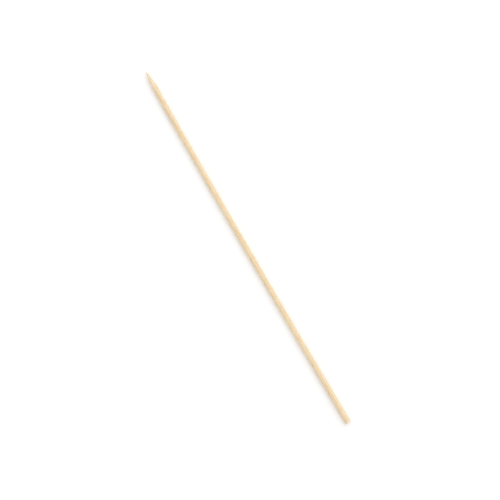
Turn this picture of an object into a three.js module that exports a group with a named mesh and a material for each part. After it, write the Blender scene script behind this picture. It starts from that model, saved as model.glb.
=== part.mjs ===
// A round bamboo skewer for grilled food and takeaway counters, in millimetres.
// It lies along X. The middle of its sawn face is the origin, and it points toward +X.
// It is one piece: a rod planed from a strip of bamboo, sawn square at one end and sharpened at the other.
import * as THREE from "three";

// Driving dimensions
const LENGTH = 200; // from the sawn face to the tip
const DIAMETER = 2.8; // mean, across the shaft
const OVALITY = 0.09; // widest less narrowest across the shaft, from the two halves of the planing cutter
const POINT_LENGTH = 8.2; // from the tip back to a mean shoulder
const TIP_RADIUS = 0.36; // the small nose that is left, because a needle tip would crumble
const FLANK_BELLY = 0.4; // how far ahead of a straight cone the rounded side of the point lies, halfway up
const POINT_OFFSET = 0.06; // from the shaft's axis to the point's, because no sharpener grips dead centre
const RIM_RADIUS = 0.2; // the rounding that tumbling leaves round the sawn face
const BOW = 0.6; // the sideways bend of the shaft at its middle

// The cutter also leaves shallow flats. Each entry has a number of flats round the shaft, their rise and
// their place.
const FLATS = [
  { count: 3, rise: 0.014, turn: 1.9 },
  { count: 7, rise: 0.01, turn: 0.4 },
];
const OVAL_TURN = 0.5; // where the wide way across lies, in radians round the shaft from +Y
const OFFSET_TURN = 2.2; // which way the point's axis lies, measured in the same way

// Steps in the facets
const SIDES = 60;
const RIM_STEPS = 4;
const SHAFT_STEPS = 56;
const FLANK_STEPS = 10;
const NOSE_STEPS = 5;

const radius = DIAMETER / 2;
const quarterTurn = Math.PI / 2;

// The taper of the cone that touches both the round nose and the shaft's radius at the mean shoulder.
// The slant runs from the middle of the nose to the edge of that shoulder.
const noseToShoulder = POINT_LENGTH - TIP_RADIUS;
const slant = Math.hypot(radius, noseToShoulder);
const coneTaper = Math.acos(TIP_RADIUS / slant) - Math.atan2(noseToShoulder, radius);

// Where the nose meets the cone: how far behind the tip, and how far from the point's axis
const noseEnd = TIP_RADIUS * (1 - Math.sin(coneTaper));
const noseWidth = TIP_RADIUS * Math.cos(coneTaper);

// A place across the skewer, at this angle from +Y and this distance from the axis
const around = (angle, distance) => new THREE.Vector2(Math.cos(angle), Math.sin(angle)).setLength(distance);
const pointAxis = around(OFFSET_TURN, POINT_OFFSET);

// Distance from the shaft's axis to its surface, in one direction
function shaftRadius(angle) {
  const oval = (OVALITY / 4) * Math.cos(2 * (angle - OVAL_TURN));
  const flats = FLATS.map(({ count, rise, turn }) => rise * Math.cos(count * (angle - turn)));
  return flats.reduce((sum, wave) => sum + wave, radius + oval);
}

// Distance from the tip back to the place where the point is this wide, measured from the point's axis
function distanceBehindTip(width) {
  const share = (width - noseWidth) / (radius - noseWidth);
  const straight = noseEnd + (width - noseWidth) / Math.tan(coneTaper);
  return straight - 4 * FLANK_BELLY * share * (1 - share);
}

// One line of the surface, from the sawn face to the nose, in one direction round the shaft.
// Each entry is a distance along the skewer and a place across it.
function surfaceLine(angle) {
  const shaft = shaftRadius(angle);
  const fromPointAxis = around(angle, shaft).sub(pointAxis);
  const shoulderWidth = fromPointAxis.length();
  const shoulder = LENGTH - distanceBehindTip(shoulderWidth);
  const outward = fromPointAxis.normalize();
  const acrossPoint = (width) => outward.clone().multiplyScalar(width).add(pointAxis);
  const line = [];

  for (let step = 0; step < RIM_STEPS; step += 1) {
    const turn = (step / RIM_STEPS) * quarterTurn;
    const along = RIM_RADIUS * (1 - Math.cos(turn));
    line.push({ along, across: around(angle, shaft - RIM_RADIUS * (1 - Math.sin(turn))) });
  }
  for (let step = 0; step < SHAFT_STEPS; step += 1) {
    const along = THREE.MathUtils.lerp(RIM_RADIUS, shoulder, step / SHAFT_STEPS);
    line.push({ along, across: around(angle, shaft) });
  }
  for (let step = 0; step < FLANK_STEPS; step += 1) {
    const width = THREE.MathUtils.lerp(shoulderWidth, noseWidth, step / FLANK_STEPS);
    line.push({ along: LENGTH - distanceBehindTip(width), across: acrossPoint(width) });
  }
  for (let step = 0; step < NOSE_STEPS; step += 1) {
    const turn = THREE.MathUtils.lerp(coneTaper, quarterTurn, step / NOSE_STEPS);
    const along = LENGTH - TIP_RADIUS * (1 - Math.sin(turn));
    line.push({ along, across: acrossPoint(TIP_RADIUS * Math.cos(turn)) });
  }
  return line;
}

// The bow is a shallow parabola that is zero at both ends
function bowed({ along, across }) {
  const share = along / LENGTH;
  return new THREE.Vector3(along, across.x + 4 * BOW * share * (1 - share), across.y);
}

// Joins the surface lines, side by side round the skewer, into one closed skin that faces out
function skin(lines, startPoint, endPoint) {
  const rows = lines[0].length;
  const vertices = [...lines.flat(), startPoint, endPoint];
  const start = vertices.length - 2;
  const end = vertices.length - 1;
  const triangles = [];
  for (let side = 0; side < lines.length; side += 1) {
    const here = side * rows;
    const next = ((side + 1) % lines.length) * rows;
    triangles.push(start, next, here);
    for (let row = 0; row < rows - 1; row += 1) {
      triangles.push(here + row, next + row, next + row + 1);
      triangles.push(here + row, next + row + 1, here + row + 1);
    }
    triangles.push(end, here + rows - 1, next + rows - 1);
  }
  const geometry = new THREE.BufferGeometry().setFromPoints(vertices);
  geometry.setIndex(triangles);
  geometry.computeVertexNormals();
  return geometry;
}

function makeSkewer() {
  const directions = Array.from({ length: SIDES }, (_, side) => (side / SIDES) * 2 * Math.PI);
  const lines = directions.map((angle) => surfaceLine(angle).map(bowed));
  const sawnCentre = bowed({ along: 0, across: new THREE.Vector2() });
  const tip = bowed({ along: LENGTH, across: pointAxis });
  const bamboo = new THREE.MeshStandardMaterial({ color: 0xe9cda0, roughness: 0.6, metalness: 0 });
  const skewer = new THREE.Mesh(skin(lines, sawnCentre, tip), bamboo);
  skewer.name = "skewer";
  return skewer;
}

const part = new THREE.Group();
part.add(makeSkewer());

export default part;
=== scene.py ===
# %% [markdown]
# # A bamboo skewer
#
# A round bamboo skewer is one thin rod, 200 mm long and under 3 mm across. It is planed from a split
# strip of bamboo culm, sawn square at one end and sharpened at the other. Nothing is glued, varnished or
# painted, so all of its character is in the grain: straight bundles of fibre that run its whole length.
#
# This lesson starts from a plain solid of the skewer and dresses it. It refines the mesh, carves the
# grain into it, adds the loose fibres that the saw and the sharpener leave, and gives it a bamboo
# material. The solid comes in metres, lying along X with its sawn end at the origin, and everything here
# keeps that place.

# %% Load the plain solid
import math

import bmesh
import bpy
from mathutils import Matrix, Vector


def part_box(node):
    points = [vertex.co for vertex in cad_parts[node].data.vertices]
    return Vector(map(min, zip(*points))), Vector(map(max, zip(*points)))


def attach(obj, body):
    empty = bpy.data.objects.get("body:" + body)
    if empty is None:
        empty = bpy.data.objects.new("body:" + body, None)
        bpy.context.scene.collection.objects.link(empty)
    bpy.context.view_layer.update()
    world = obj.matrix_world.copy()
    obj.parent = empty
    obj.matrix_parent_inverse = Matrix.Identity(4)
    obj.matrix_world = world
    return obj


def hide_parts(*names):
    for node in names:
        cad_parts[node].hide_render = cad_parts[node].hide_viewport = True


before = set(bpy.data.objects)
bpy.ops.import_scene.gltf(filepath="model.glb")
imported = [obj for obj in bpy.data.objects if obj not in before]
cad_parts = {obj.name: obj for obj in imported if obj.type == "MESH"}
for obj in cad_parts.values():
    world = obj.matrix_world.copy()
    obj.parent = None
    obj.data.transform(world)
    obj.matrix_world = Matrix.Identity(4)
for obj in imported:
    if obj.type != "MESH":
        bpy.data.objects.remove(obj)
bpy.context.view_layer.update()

MM = 0.001  # a millimetre, in Blender's metres
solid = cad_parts["skewer"]
lowest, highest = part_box("skewer")
length = highest.x - lowest.x
thickness = highest.z - lowest.z
print(f"The skewer is {length / MM:.1f} mm long and {thickness / MM:.2f} mm thick")

# %% [markdown]
# ## Small helpers
#
# Real sizes in this lesson are written in millimetres, and Blender works in metres. Colours are written
# as the hex values that a paint program shows, and the shaders want linear light, so one function turns
# one into the other. Both the geometry trees and the materials are node trees, so one more function adds
# a node to either kind and links it. Many nodes hold more sockets than they show. A Mix node, for one,
# has a set of them for numbers and another for colours, so only the sockets in use are filled. An object
# shows once it is linked to the scene's collection.

# %% Colours, nodes and objects
def linear(hex_colour):
    """Turns an sRGB hex colour into the linear RGBA that shader sockets take."""
    channels = [int(hex_colour[i : i + 2], 16) / 255 for i in (1, 3, 5)]
    return [c / 12.92 if c <= 0.04045 else ((c + 0.055) / 1.055) ** 2.4 for c in channels] + [1.0]


def in_use(sockets):
    """The sockets that a node shows with its present settings, in order."""
    return [socket for socket in sockets if socket.enabled]


def set_inputs(tree, node, inputs):
    """Sets inputs in order or by name. Each gets a value, an output, or the first output of a node."""
    sockets = in_use(node.inputs)
    if isinstance(inputs, dict):
        named = {socket.name: socket for socket in sockets}
        sockets = [named[name] for name in inputs]
        inputs = inputs.values()
    for socket, value in zip(sockets, inputs):
        if isinstance(value, bpy.types.Node):
            value = in_use(value.outputs)[0]
        if isinstance(value, bpy.types.NodeSocket):
            tree.links.new(value, socket)
        else:
            socket.default_value = value


def add_node(tree, kind, inputs=(), **settings):
    """Adds a node with its settings and its links."""
    node = tree.nodes.new(kind)
    for name, value in settings.items():
        setattr(node, name, value)
    set_inputs(tree, node, inputs)
    return node


def new_material(name):
    """A material with its tree and its shader."""
    material = bpy.data.materials.new(name)
    material.use_nodes = True
    return material, material.node_tree, material.node_tree.nodes["Principled BSDF"]


def new_object(name, data):
    """A new object in the scene, at the origin."""
    item = bpy.data.objects.new(name, data)
    bpy.context.scene.collection.objects.link(item)
    return item


print("A middle grey, #808080, is", round(linear("#808080")[0], 3), "in linear light")

# %% [markdown]
# ## The camera
#
# The picture looks almost straight down on the skewer with a long lens. The point is at the upper left
# and the sawn end at the lower right. The sawn end is slightly nearer, so the rod looks about 4 % wider
# there. Those two places in the picture and the skewer's length settle the heading, the distance and the
# point that the camera looks at.

# %% Place the camera
LENS = 85.0
SENSOR_WIDTH = 36.0
CAMERA_HEADING = math.radians(-29.68)
CAMERA_ELEVATION = math.radians(81)
CAMERA_DISTANCE = 576.6 * MM
CAMERA_TARGET = Vector((95.9, -0.52, 0)) * MM
NEAREST_SEEN = 1 * MM
PICTURE_WIDTH = 500

heading = Vector((math.cos(CAMERA_HEADING), math.sin(CAMERA_HEADING), 0))
look = heading * math.cos(CAMERA_ELEVATION) - Vector((0, 0, math.sin(CAMERA_ELEVATION)))
camera = new_object("camera", bpy.data.cameras.new("camera"))
camera.data.lens = LENS
camera.data.sensor_width = SENSOR_WIDTH
camera.data.clip_start = NEAREST_SEEN
camera.location = CAMERA_TARGET - look * CAMERA_DISTANCE
camera.rotation_euler = look.to_track_quat("-Z", "Y").to_euler()
bpy.context.scene.camera = camera


def picture_place(point):
    """Where a point lands in the picture, in pixels from its upper left corner."""
    turned = camera.rotation_euler.to_matrix().transposed() @ (Vector(point) - camera.location)
    scale = PICTURE_WIDTH * LENS / SENSOR_WIDTH / -turned.z
    return round(PICTURE_WIDTH / 2 + turned.x * scale, 1), round(PICTURE_WIDTH / 2 - turned.y * scale, 1)


print("Tip at", picture_place((length, 0, 0)), "and sawn end at", picture_place((0, 0, 0)))

# %% [markdown]
# ## Floor and light
#
# A sheet of matt white paper is the plain way to show a small pale object, and it keeps the soft shadow
# under it. Paper that is lit like the object comes out a little grey, so it glows slightly, but only for
# the rays that show it directly: that glow never lights the skewer.

# %% Lay the floor
FLOOR_SIZE = 6.0  # metres
FLOOR_GAP = 0.02 * MM
FLOOR_LIFT = 0.045  # share of white
PAPER_WHITE = "#FCFCFC"
PAPER_ROUGHNESS = 0.9
PURE_WHITE = "#FFFFFF"


def seen_directly(tree):
    """1 for the rays that show the background itself, in view, in gloss or through glass."""
    rays = add_node(tree, "ShaderNodeLightPath").outputs
    view_or_gloss = (rays["Is Camera Ray"], rays["Is Glossy Ray"])
    seen = add_node(tree, "ShaderNodeMath", view_or_gloss, operation="MAXIMUM")
    return add_node(tree, "ShaderNodeMath", (seen, rays["Is Transmission Ray"]), operation="MAXIMUM")


def paper_material(name):
    """Matt white paper: no shine anywhere, and a soft edge to every shadow."""
    material, tree, surface = new_material(name)
    lift = add_node(tree, "ShaderNodeMath", (seen_directly(tree), FLOOR_LIFT), operation="MULTIPLY")
    finish = {
        "Base Color": linear(PAPER_WHITE),
        "Roughness": PAPER_ROUGHNESS,
        "Emission Color": linear(PURE_WHITE),
        "Emission Strength": lift,
    }
    set_inputs(tree, surface, finish)
    return material


middle = (lowest + highest) / 2
floor_height = lowest.z - FLOOR_GAP
half = FLOOR_SIZE / 2
corners = [(-half, -half), (half, -half), (half, half), (-half, half)]
floor_mesh = bpy.data.meshes.new("floor")
floor_mesh.from_pydata([(middle.x + x, y, floor_height) for x, y in corners], [], [(0, 1, 2, 3)])
floor_mesh.materials.append(paper_material("matt white paper"))
floor = new_object("floor", floor_mesh)
print(f"Floor at {floor_height / MM:.3f} mm")

# %% [markdown]
# ## Light
#
# An even white surround gives most of the light, as in a photographer's tent. One large softbox to the
# upper right of the picture leaves the left flank of the rod a little darker, which shows that it is
# round. It stands far off, so that the floor is as bright behind the skewer as beside it.

# %% Light the scene
SHOWN_STRENGTH = 1.0  # the surround is just white where a ray shows it
FILL_STRENGTH = 0.825  # and this share of white as a light
KEY_SIZE = 5.1  # metres
KEY_DISTANCE = 6.0
KEY_POWER = 106.0  # watts
KEY_TURN = math.radians(-75)
KEY_RISE = math.radians(52)

world = bpy.data.worlds.new("white surround")
world.use_nodes = True
bpy.context.scene.world = world
surround = world.node_tree
strengths = (seen_directly(surround), FILL_STRENGTH, SHOWN_STRENGTH)
brightness = add_node(surround, "ShaderNodeMix", strengths)
set_inputs(surround, surround.nodes["Background"], {"Color": linear(PURE_WHITE), "Strength": brightness})

softbox = new_object("softbox", bpy.data.lights.new("softbox", "AREA"))
softbox.data.size = KEY_SIZE
softbox.data.energy = KEY_POWER
side = Vector((math.cos(KEY_TURN), math.sin(KEY_TURN), 0))
softbox_way = side * math.cos(KEY_RISE) + Vector((0, 0, math.sin(KEY_RISE)))
softbox.location = middle + softbox_way * KEY_DISTANCE
softbox.rotation_euler = (-softbox_way).to_track_quat("-Z", "Y").to_euler()
bpy.context.scene.view_settings.view_transform = "Standard"
print(f"Surround at {FILL_STRENGTH} of white, softbox of {KEY_POWER} W, {KEY_DISTANCE} m away")

# %% [markdown]
# ## A finer mesh from the plain solid
#
# The plain solid has the true form: a slightly oval rod with a slow bow, a rounded rim and a point that
# is sharpened a little off centre. Its facets are too coarse for grain, so a copy of it is refined. Its
# triangles are joined to quads, the sawn face gets rings of its own, and the shoulder of the point is
# creased. The faces of the point are much shorter than those of the shaft, so the shoulder is where a
# short face meets a long one.

# %% Refine the copy
SAME_PLACE = 0.001 * MM
SHAFT_FACE_LENGTH = 2 * MM  # longer than any face of the point, and shorter than those of the shaft
SAWN_RINGS = 7
JOIN_ANGLE = math.radians(25)


def face_reach(face):
    """How far a face reaches along the skewer."""
    along = [vertex.co.x for vertex in face.verts]
    return max(along) - min(along)


def refined_copy(mesh):
    """A closed quad mesh of the plain solid, ready for subdivision."""
    shape = bmesh.new()
    shape.from_mesh(mesh)
    bmesh.ops.remove_doubles(shape, verts=shape.verts, dist=SAME_PLACE)
    sawn = [face for face in shape.faces if all(abs(v.co.x) < SAME_PLACE for v in face.verts)]
    sawn_face = bmesh.ops.dissolve_faces(shape, faces=sawn, use_verts=True)["region"][0]
    others = [face for face in shape.faces if face != sawn_face]
    bmesh.ops.join_triangles(
        shape, faces=others, angle_face_threshold=JOIN_ANGLE, angle_shape_threshold=math.pi
    )
    for ring in range(SAWN_RINGS, 0, -1):
        bmesh.ops.inset_individual(shape, faces=[sawn_face], thickness=0.0)
        inner = ring / (ring + 1)
        bmesh.ops.scale(shape, vec=(1.0, inner, inner), verts=sawn_face.verts)
    bmesh.ops.poke(shape, faces=[sawn_face])
    crease = shape.edges.layers.float.new("crease_edge")
    for edge in shape.edges:
        reaches = sorted(face_reach(face) for face in edge.link_faces)
        near_point = min(v.co.x for v in edge.verts) > length / 2
        if near_point and reaches[0] < SHAFT_FACE_LENGTH < reaches[-1]:
            edge[crease] = 1.0
    result = bpy.data.meshes.new("skewer_rod")
    shape.to_mesh(result)
    shape.free()
    return result


rod = new_object("skewer_rod", refined_copy(solid.data))
print(f"{len(solid.data.polygons)} triangles became {len(rod.data.polygons)} faces")

# %% [markdown]
# ## Rounding the facets
#
# Catmull-Clark subdivision rounds the facets, and the crease keeps the shoulder crisp. A modifier is only
# a recipe until it is evaluated, so one function takes the evaluated mesh and clears the recipe away. The
# geometry trees further down use it too.

# %% Subdivide the copy
SUBDIVISIONS = 2


def applied(piece):
    """The piece with its modifiers made real, as a plain mesh object."""
    bpy.context.view_layer.update()
    shown = piece.evaluated_get(bpy.context.evaluated_depsgraph_get())
    mesh = bpy.data.meshes.new_from_object(shown)
    piece.modifiers.clear()
    piece.data = mesh
    return piece


smoothing = rod.modifiers.new("round the facets", "SUBSURF")
smoothing.levels = SUBDIVISIONS
smoothing.render_levels = SUBDIVISIONS
applied(rod)
print("Subdivision makes", len(rod.data.polygons), "of them")

# %% [markdown]
# ## The grain of bamboo, once for shape and once for colour
#
# Bamboo has no rings and no rays. It is pale soft ground with straight bundles of fibre in it, each about
# 0.4 mm across with an open vessel in its middle, and they run the length of the culm. Toward the outer
# skin of the culm they lie closer. Cut square, they show as dots, cut lengthwise they are lines, and on a
# sharpened point they are long slivers. A solid pattern does all three at once: cells across the skewer
# that don't change along it, apart from a slow waver. The same function draws it in the geometry tree and
# in the material, so that the ridges and grooves lie exactly where the lines of colour are. Both kinds of
# tree know the same nodes for sums, fades and noise. Noise of a real size comes first, because every
# finish here needs it.

# %% Noise of a real size
NOISE_MIDDLE = 0.5
NOISE_REACH = 0.25  # noise lies about this far to either side of its middle


def stretched_noise(tree, place, long, wide, deep=None):
    """Noise whose grains have these sizes along X, Y and Z, in millimetres."""
    scale = (1 / long, 1 / wide, 1 / (deep or wide))
    scaled = add_node(tree, "ShaderNodeVectorMath", (place, scale), operation="MULTIPLY")
    return add_node(tree, "ShaderNodeTexNoise", {"Vector": scaled, "Scale": 1.0})


print("Noise lies between", NOISE_MIDDLE - NOISE_REACH, "and", NOISE_MIDDLE + NOISE_REACH)

# %% [markdown]
# ## The bundles
#
# The cells are a Voronoi pattern on the two directions across the skewer: the distance from a cell's
# middle gives the round bundle and the vessel inside it. Each cell also has a tint of its own, because no
# two bundles have quite the same colour.

# %% Describe the bundles
BUNDLE_SPACING = 0.46  # millimetres, as all lengths here
CROWDING = 0.26  # how much closer the bundles lie, for each millimetre toward the skin
BUNDLE_SCATTER = 0.75  # 0 is an even grid, and 1 is quite random
WAVER = 0.3
WAVER_LENGTH = 45.0
WAVER_DETAIL = 1.0
BUNDLE_EDGE = 0.44  # from a cell's middle, in shares of the spacing, as the next three
BUNDLE_CORE = 0.2
VESSEL_EDGE = 0.14
VESSEL_CORE = 0.06
SKIN_FADE = 1.3  # from the shaft's middle to where the skin side's colour is full


def bamboo_grain(tree, position):
    """Draws the grain at a position in metres. Returns the fields that shape and colour are made from."""
    to_millimetres = (1 / MM,) * 3
    place = add_node(tree, "ShaderNodeVectorMath", (position, to_millimetres), operation="MULTIPLY")
    slow = add_node(tree, "ShaderNodeVectorMath", (place, (1 / WAVER_LENGTH,) * 3), operation="MULTIPLY")
    noise = add_node(tree, "ShaderNodeTexNoise", {"Vector": slow, "Scale": 1.0, "Detail": WAVER_DETAIL})
    level = (NOISE_MIDDLE,) * 3
    drift = add_node(tree, "ShaderNodeVectorMath", (noise.outputs["Color"], level), operation="SUBTRACT")
    sideways = (0.0, WAVER / NOISE_REACH, WAVER / NOISE_REACH)
    waver = add_node(tree, "ShaderNodeVectorMath", (drift, sideways), operation="MULTIPLY")
    moved = add_node(tree, "ShaderNodeVectorMath", (place, waver), operation="ADD")
    across = add_node(tree, "ShaderNodeSeparateXYZ", (moved,)).outputs
    crowd = add_node(tree, "ShaderNodeMath", (across["Z"], CROWDING, 1.0), operation="MULTIPLY_ADD")
    cell_y = add_node(tree, "ShaderNodeMath", (across["Y"], crowd), operation="MULTIPLY")
    cell_z = add_node(tree, "ShaderNodeMath", (across["Z"], crowd), operation="MULTIPLY")
    cells = add_node(tree, "ShaderNodeCombineXYZ", (cell_y, cell_z))
    layout = {"Vector": cells, "Scale": 1 / BUNDLE_SPACING, "Randomness": BUNDLE_SCATTER}
    bundles = add_node(tree, "ShaderNodeTexVoronoi", layout, voronoi_dimensions="2D").outputs
    fades = {
        "bundle": (bundles["Distance"], BUNDLE_EDGE, BUNDLE_CORE),
        "vessel": (bundles["Distance"], VESSEL_EDGE, VESSEL_CORE),
        "skin_side": (across["Z"], -SKIN_FADE, SKIN_FADE),
    }
    grain = {
        name: add_node(tree, "ShaderNodeMapRange", fade, interpolation_type="SMOOTHSTEP")
        for name, fade in fades.items()
    }
    grain["place"] = place
    grain["along"] = add_node(tree, "ShaderNodeSeparateXYZ", (place,)).outputs["X"]
    grain["own_tint"] = add_node(tree, "ShaderNodeSeparateXYZ", (bundles["Color"],)).outputs["X"]
    return grain


print(f"Bundles every {BUNDLE_SPACING} mm, wavering by {WAVER} mm over {WAVER_LENGTH} mm")

# %% [markdown]
# ## The bamboo's colours
#
# Planed bamboo is a pale straw colour. The ground is cream, the bundles are tan and a little glossier
# because their fibres are dense, and an opened vessel is a fine brown line. The side that lay toward the
# skin of the culm is yellower. Slow streaks of warm cream run along it, with shorter tan mottling, fine
# lines where single fibres were cut through, and a few small brown flecks. Each of those marks is
# stretched noise with a real length and width in millimetres, so one function lays them all. A mark fades
# in between two levels of its noise, and its share says how strongly it covers. In the whole picture a
# pixel is half a millimetre, and single bundles and lines are too fine to show, so the streaks and the
# mottling are as coarse as they need to be there. The rim and the point were cut after the planing and
# then rubbed in the tumbling drum, so they are a little paler. The sawn face is end grain, a shade
# darker, with the fine marks of the saw across it.

# %% Colour the bamboo
GROUND_CREAM = "#FAF0DE"
SKIN_STRAW = "#F7E5C2"
BUNDLE_TAN = "#EDCC9E"
PALEST_BUNDLE = 0.35
BUNDLE_SPREAD = 0.4
FRESH_CREAM = "#FFF6E8"
FRESH_SHARE = 0.2
FRESH_ENDS = {"rim": (1.8, 0.3), "point": (190.8, 192.6)}  # where it starts and is full, along the skewer
END_GRAIN_TAN = "#E0C090"
PALEST_END_GRAIN = 0.25
END_GRAIN_SPREAD = 0.5
VESSEL_BROWN = "#B4875C"
VESSEL_SHARE = 0.7
MARKS = {
    "warm streaks": dict(long=40.0, wide=0.7, start=0.35, end=0.7, share=0.15, colour="#F5D8B4"),
    "tan mottling": dict(long=3.0, wide=0.45, start=0.42, end=0.78, share=0.7, colour="#E3BE8E"),
    "fine lines": dict(long=3.0, wide=0.06, start=0.48, end=0.7, share=0.55, colour="#DCB486"),
    "brown flecks": dict(long=1.6, wide=0.22, start=0.74, end=0.8, share=0.7, colour="#94673F"),
}


def laid_over(tree, colour, tint, where, share):
    """Lays a tint over a colour where a field is 1, as strongly as this share says."""
    amount = add_node(tree, "ShaderNodeMath", (where, share), operation="MULTIPLY")
    return add_node(tree, "ShaderNodeMix", (amount, colour, linear(tint)), data_type="RGBA")


def marked(tree, place, colour, mark):
    """Lays one kind of mark over a colour."""
    fade = (stretched_noise(tree, place, mark["long"], mark["wide"]), mark["start"], mark["end"])
    where = add_node(tree, "ShaderNodeMapRange", fade, interpolation_type="SMOOTHSTEP")
    return laid_over(tree, colour, mark["colour"], where, mark["share"])


def bamboo_colour(tree, grain, end_grain, saw_marks):
    """Lays down ground, bundles, marks, fresh ends, sawn face and vessels, each over the last."""
    ground = (grain["skin_side"], linear(GROUND_CREAM), linear(SKIN_STRAW))
    colour = add_node(tree, "ShaderNodeMix", ground, data_type="RGBA")
    bundle_tint = (grain["own_tint"], BUNDLE_SPREAD, PALEST_BUNDLE)
    tan = add_node(tree, "ShaderNodeMath", bundle_tint, operation="MULTIPLY_ADD")
    colour = laid_over(tree, colour, BUNDLE_TAN, grain["bundle"], tan)
    for mark in MARKS.values():
        colour = marked(tree, grain["place"], colour, mark)
    for start, full in FRESH_ENDS.values():
        fade = (grain["along"], start, full)
        fresh = add_node(tree, "ShaderNodeMapRange", fade, interpolation_type="SMOOTHSTEP")
        colour = laid_over(tree, colour, FRESH_CREAM, fresh, FRESH_SHARE)
    end_tint = (saw_marks, END_GRAIN_SPREAD, PALEST_END_GRAIN)
    tan = add_node(tree, "ShaderNodeMath", end_tint, operation="MULTIPLY_ADD")
    colour = laid_over(tree, colour, END_GRAIN_TAN, end_grain, tan)
    return laid_over(tree, colour, VESSEL_BROWN, grain["vessel"], VESSEL_SHARE)


print("Kinds of mark:", ", ".join(MARKS))

# %% [markdown]
# ## The bamboo's surface
#
# The planed side has a soft sheen, stronger on the dense bundles, and the sawn face has none. Cellulose
# has an IOR of about 1.5. Light also goes a few tenths of a millimetre into the pale ground and comes out
# warmer. The pores and the saw marks are too fine for the mesh, so they are bump.

# %% Mix the bamboo material
GROUND_ROUGHNESS = 0.58
BUNDLE_ROUGHNESS = 0.46
END_GRAIN_ROUGHNESS = 0.8
END_GRAIN_DEPTH = 0.12  # millimetres
SAW_MARKS = dict(long=1.0, wide=0.07, deep=2.5)
SAW_MARK_START = 0.36
SAW_MARK_END = 0.62
PORE_HEIGHT = 0.03
PORE_STRENGTH = 0.6
CELLULOSE_IOR = 1.5
GLOW_SHARE = 0.3
GLOW_DEPTH = 0.4  # for red, in millimetres
GLOW_REACH = (1.0, 0.62, 0.35)  # red, green and blue, in shares of that depth


def bamboo_material(name):
    """Planed and tumbled bamboo, unvarnished: straw with fine straight lines, and a soft satin sheen."""
    material, tree, surface = new_material(name)
    grain = bamboo_grain(tree, add_node(tree, "ShaderNodeTexCoord").outputs["Object"])
    end_fade = (grain["along"], END_GRAIN_DEPTH, 0.0)
    end_grain = add_node(tree, "ShaderNodeMapRange", end_fade, interpolation_type="SMOOTHSTEP")
    saw_fade = (stretched_noise(tree, grain["place"], **SAW_MARKS), SAW_MARK_START, SAW_MARK_END)
    saw_marks = add_node(tree, "ShaderNodeMapRange", saw_fade, interpolation_type="SMOOTHSTEP")

    planed = add_node(tree, "ShaderNodeMix", (grain["bundle"], GROUND_ROUGHNESS, BUNDLE_ROUGHNESS))
    fine = MARKS["fine lines"]
    pores = stretched_noise(tree, grain["place"], fine["long"], fine["wide"])
    height = add_node(tree, "ShaderNodeMix", (end_grain, pores, saw_marks))
    relief = {"Height": height, "Distance": PORE_HEIGHT * MM, "Strength": PORE_STRENGTH}
    finish = {
        "Base Color": bamboo_colour(tree, grain, end_grain, saw_marks),
        "Roughness": add_node(tree, "ShaderNodeMix", (end_grain, planed, END_GRAIN_ROUGHNESS)),
        "Normal": add_node(tree, "ShaderNodeBump", relief),
        "IOR": CELLULOSE_IOR,
        "Subsurface Weight": GLOW_SHARE,
        "Subsurface Radius": GLOW_REACH,
        "Subsurface Scale": GLOW_DEPTH * MM,
    }
    set_inputs(tree, surface, finish)
    return material


bamboo = bamboo_material("planed bamboo")
print("The bamboo has", len(bamboo.node_tree.nodes), "nodes")

# %% [markdown]
# ## Trees that change a mesh
#
# Geometry Nodes do what follows a rule over a whole surface, and this lesson uses them twice: to carve
# the grain and to scatter the fibres. Each tree has named inputs for its sizes, ends in real geometry
# with its material set, and is then made plain, so that nothing live is left on the piece.

# %% Build and run a geometry tree
def geometry_tree(name, *sizes):
    """An empty geometry tree with a mesh going in and out, and named inputs for its sizes."""
    tree = bpy.data.node_groups.new(name, "GeometryNodeTree")
    tree.interface.new_socket("Mesh", in_out="INPUT", socket_type="NodeSocketGeometry")
    tree.interface.new_socket("Mesh", in_out="OUTPUT", socket_type="NodeSocketGeometry")
    for size in sizes:
        kind = "NodeSocketInt" if size == "Seed" else "NodeSocketFloat"
        tree.interface.new_socket(size, in_out="INPUT", socket_type=kind)
    return tree, add_node(tree, "NodeGroupInput").outputs, add_node(tree, "NodeGroupOutput")


def end_tree(tree, result, geometry, material):
    """Ends a tree with real geometry that has its material."""
    real = add_node(tree, "GeometryNodeRealizeInstances", {"Geometry": geometry})
    painted = add_node(tree, "GeometryNodeSetMaterial", {"Geometry": real, "Material": material})
    set_inputs(tree, result, {"Mesh": painted})


def run_tree(piece, tree, sizes):
    """Puts the tree on a piece, sets each input by its identifier, and makes the result real."""
    modifier = piece.modifiers.new(tree.name, "NODES")
    modifier.node_group = tree
    for item in tree.interface.items_tree:
        if item.in_out == "INPUT" and item.name in sizes:
            modifier[item.identifier] = sizes[item.name]
    return applied(piece)


print("A tree's sizes go in as numbers, and its seed as a whole number")

# %% [markdown]
# ## Carving the grain
#
# The planing cutter and the tumbling drum wear the soft ground a little more than the hard bundles, and
# leave the open vessels as fine grooves. The carving only ever goes inward, because the plain solid is
# the outside of the real rod. Over a few millimetres the cutter also rides up and down a little, which
# makes long shallow hollows, and single fibres leave a fine fuzz of ridges. All of it is in millimetres.

# %% Carve the rod
WEAR = {"Ground Wear": 0.02, "Vessel Depth": 0.035, "Chatter Depth": 0.03, "Fuzz Depth": 0.012}
CHATTER = dict(long=9.0, wide=0.9)
FUZZ = dict(long=1.6, wide=0.07)


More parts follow.
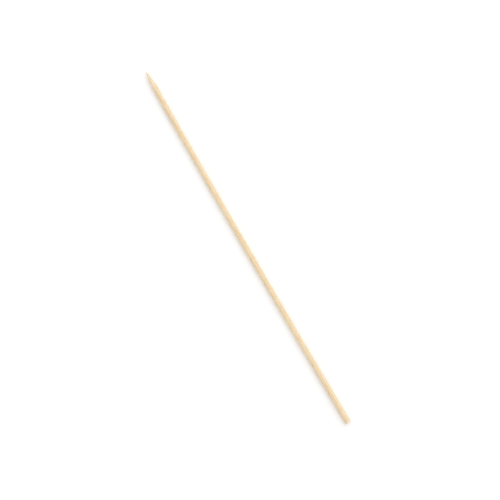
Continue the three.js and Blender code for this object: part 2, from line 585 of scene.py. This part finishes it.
def carving_tree(material):
    """Moves each vertex inward by how much the grain and the cutter wear it there."""
    tree, given, result = geometry_tree("carve the grain", *WEAR)
    grain = bamboo_grain(tree, add_node(tree, "GeometryNodeInputPosition"))
    ground = add_node(tree, "ShaderNodeMath", (1.0, grain["bundle"]), operation="SUBTRACT")
    worn = {
        "Ground Wear": ground,
        "Vessel Depth": grain["vessel"],
        "Chatter Depth": stretched_noise(tree, grain["place"], **CHATTER),
        "Fuzz Depth": stretched_noise(tree, grain["place"], **FUZZ),
    }
    depth = 0.0
    for name, share in worn.items():
        depth = add_node(tree, "ShaderNodeMath", (share, given[name], depth), operation="MULTIPLY_ADD")
    inward = add_node(tree, "ShaderNodeMath", (depth, -MM), operation="MULTIPLY")
    normal = add_node(tree, "GeometryNodeInputNormal")
    offset = add_node(tree, "ShaderNodeVectorMath", (normal, inward), operation="SCALE")
    carved = {"Geometry": given["Mesh"], "Offset": offset}
    end_tree(tree, result, add_node(tree, "GeometryNodeSetPosition", carved), material)
    return tree


rod.data.materials.clear()
run_tree(rod, carving_tree(bamboo), WEAR)
rod.data.shade_smooth()
print(f"Carved {len(rod.data.vertices)} vertices, in", [material.name for material in rod.data.materials])

# %% [markdown]
# ## One loose fibre
#
# A saw and a sharpener both tear the ends of the bundles, and leave fibres finer than a hair. One fibre
# is a short bent line with a thin ring swept along it, which tapers toward its free end. Its root is a
# little inside the rod, so that it grows out of it. It is drawn in millimetres and made small when it is
# placed.

# %% Draw a fibre
FIBRE_SIDES = 4
FIBRE_STEPS = 5
ROOT_DEPTH = 1.0  # inside the rod, in widths of the fibre
BEND_ALONG = 0.5  # where the line bends, as a share of its length
BEND_UP = 0.25  # and of its height
FREE_END_WIDTH = 0.2  # share of the root's width


def fibre_shape(tree, length, width, lift):
    """A bent, tapering fibre that starts at the origin and runs along X."""
    below = add_node(tree, "ShaderNodeMath", (width, -ROOT_DEPTH), operation="MULTIPLY")
    end_height = add_node(tree, "ShaderNodeMath", (length, lift), operation="MULTIPLY")
    bend_height = add_node(tree, "ShaderNodeMath", (end_height, BEND_UP), operation="MULTIPLY")
    bend_place = add_node(tree, "ShaderNodeMath", (length, BEND_ALONG), operation="MULTIPLY")
    points = {
        "Resolution": FIBRE_STEPS,
        "Start": add_node(tree, "ShaderNodeCombineXYZ", {"Z": below}),
        "Middle": add_node(tree, "ShaderNodeCombineXYZ", {"X": bend_place, "Z": bend_height}),
        "End": add_node(tree, "ShaderNodeCombineXYZ", {"X": length, "Z": end_height}),
    }
    line = add_node(tree, "GeometryNodeCurveQuadraticBezier", points)
    narrowing = (add_node(tree, "GeometryNodeSplineParameter"), FREE_END_WIDTH - 1, 1.0)
    taper = add_node(tree, "ShaderNodeMath", narrowing, operation="MULTIPLY_ADD")
    tapered = add_node(tree, "GeometryNodeSetCurveRadius", {"Curve": line, "Radius": taper})
    half_width = add_node(tree, "ShaderNodeMath", (width, 2.0), operation="DIVIDE")
    ring = add_node(tree, "GeometryNodeCurvePrimitiveCircle", (FIBRE_SIDES, half_width))
    sweep = {"Curve": tapered, "Profile Curve": ring, "Fill Caps": True}
    return add_node(tree, "GeometryNodeCurveToMesh", sweep)


print("A fibre has", FIBRE_SIDES, "sides and", FIBRE_STEPS, "steps")

# %% [markdown]
# ## Scattering the fibres
#
# Short fibres stand out round the sawn rim and on the point, and a few longer ones lift along the shaft.
# The tree picks places on the carved rod with a fixed seed, between two distances along it, and lays a
# fibre there along the grain. Way is 1 toward the point and -1 toward the sawn face. The zones are in
# millimetres, with the density in fibres to the square millimetre.

# %% Build the tree of fibres
FIBRE_ZONES = {
    "sawn rim": dict(From=0.05, To=0.4, Density=5.0, Length=0.25, Width=0.018, Lift=0.12, Way=-1.0, Seed=3),
    "point": dict(From=191.0, To=199.0, Density=1.0, Length=0.6, Width=0.016, Lift=0.1, Way=1.0, Seed=8),
    "shaft": dict(From=2.0, To=191.5, Density=0.015, Length=1.4, Width=0.02, Lift=0.035, Way=1.0, Seed=5),
}
SHORTEST = 0.45  # share of the zone's length
LONGEST = 1.25


def fibre_tree(material):
    """Scatters fibres over one zone of a mesh, along the grain."""
    tree, given, result = geometry_tree("loose fibres", *FIBRE_ZONES["shaft"])
    position = add_node(tree, "GeometryNodeInputPosition")
    metres = add_node(tree, "ShaderNodeSeparateXYZ", (position,)).outputs["X"]
    along = add_node(tree, "ShaderNodeMath", (metres, 1 / MM), operation="MULTIPLY")
    after = add_node(tree, "ShaderNodeMath", (along, given["From"]), operation="GREATER_THAN")
    before = add_node(tree, "ShaderNodeMath", (along, given["To"]), operation="LESS_THAN")
    inside = add_node(tree, "ShaderNodeMath", (after, before), operation="MULTIPLY")
    to_the_metre = add_node(tree, "ShaderNodeMath", (given["Density"], 1 / MM**2), operation="MULTIPLY")
    density = add_node(tree, "ShaderNodeMath", (inside, to_the_metre), operation="MULTIPLY")
    choice = {"Mesh": given["Mesh"], "Density": density, "Seed": given["Seed"]}
    spots = add_node(tree, "GeometryNodeDistributePointsOnFaces", choice).outputs
    axes = (spots["Normal"], add_node(tree, "ShaderNodeCombineXYZ", (given["Way"],)))
    turn = add_node(tree, "FunctionNodeAxesToRotation", axes, primary_axis="Z", secondary_axis="X")
    spread = {"Min": SHORTEST * MM, "Max": LONGEST * MM, "Seed": given["Seed"]}
    size = add_node(tree, "FunctionNodeRandomValue", spread, data_type="FLOAT")
    fibre = fibre_shape(tree, given["Length"], given["Width"], given["Lift"])
    laid = {"Points": spots["Points"], "Instance": fibre, "Rotation": turn, "Scale": size}
    end_tree(tree, result, add_node(tree, "GeometryNodeInstanceOnPoints", laid), material)
    return tree


print("Zones with fibres:", ", ".join(FIBRE_ZONES))

# %% [markdown]
# ## Placing the fibres
#
# Torn fibre is paler than the planed rod, and matt, because nothing has smoothed it. The tree runs on a
# copy of the carved rod for each zone, and what grew there is joined into one piece.

# %% Scatter the fibres
FIBRE_PALE = "#FFF4DF"
FIBRE_TONE = dict(long=2.0, wide=0.5, start=0.3, end=0.7, share=1.0, colour="#F3DDB8")
FIBRE_ROUGHNESS = 0.75


def fibre_material(name):
    """Torn bamboo fibre: paler than the rod and quite matt, so that it reads as fine fluff."""
    material, tree, surface = new_material(name)
    metres = add_node(tree, "ShaderNodeTexCoord").outputs["Object"]
    place = add_node(tree, "ShaderNodeVectorMath", (metres, (1 / MM,) * 3), operation="MULTIPLY")
    colour = marked(tree, place, linear(FIBRE_PALE), FIBRE_TONE)
    finish = {"Base Color": colour, "Roughness": FIBRE_ROUGHNESS, "IOR": CELLULOSE_IOR}
    set_inputs(tree, surface, finish)
    return material


torn_fibre = fibre_material("torn bamboo fibre")
scatter = fibre_tree(torn_fibre)
tufts = []
for zone, sizes in FIBRE_ZONES.items():
    tuft = new_object("fibres " + zone, rod.data.copy())
    tufts.append(run_tree(tuft, scatter, sizes))
    print(zone, "has", len(tuft.data.vertices) // (FIBRE_SIDES * (FIBRE_STEPS + 1)), "fibres")

# %% Join the fibres into one piece
gathered = bmesh.new()
for tuft in tufts:
    gathered.from_mesh(tuft.data)
    bpy.data.objects.remove(tuft)
fibres_mesh = bpy.data.meshes.new("loose_fibres")
gathered.to_mesh(fibres_mesh)
gathered.free()
fibres_mesh.materials.append(torn_fibre)
fibres = new_object("loose_fibres", fibres_mesh)
print("The fibres have", len(fibres_mesh.polygons), "faces")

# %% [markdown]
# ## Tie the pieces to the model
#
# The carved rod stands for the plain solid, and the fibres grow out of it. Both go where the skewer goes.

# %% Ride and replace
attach(rod, "root")
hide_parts("skewer")
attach(fibres, "root")
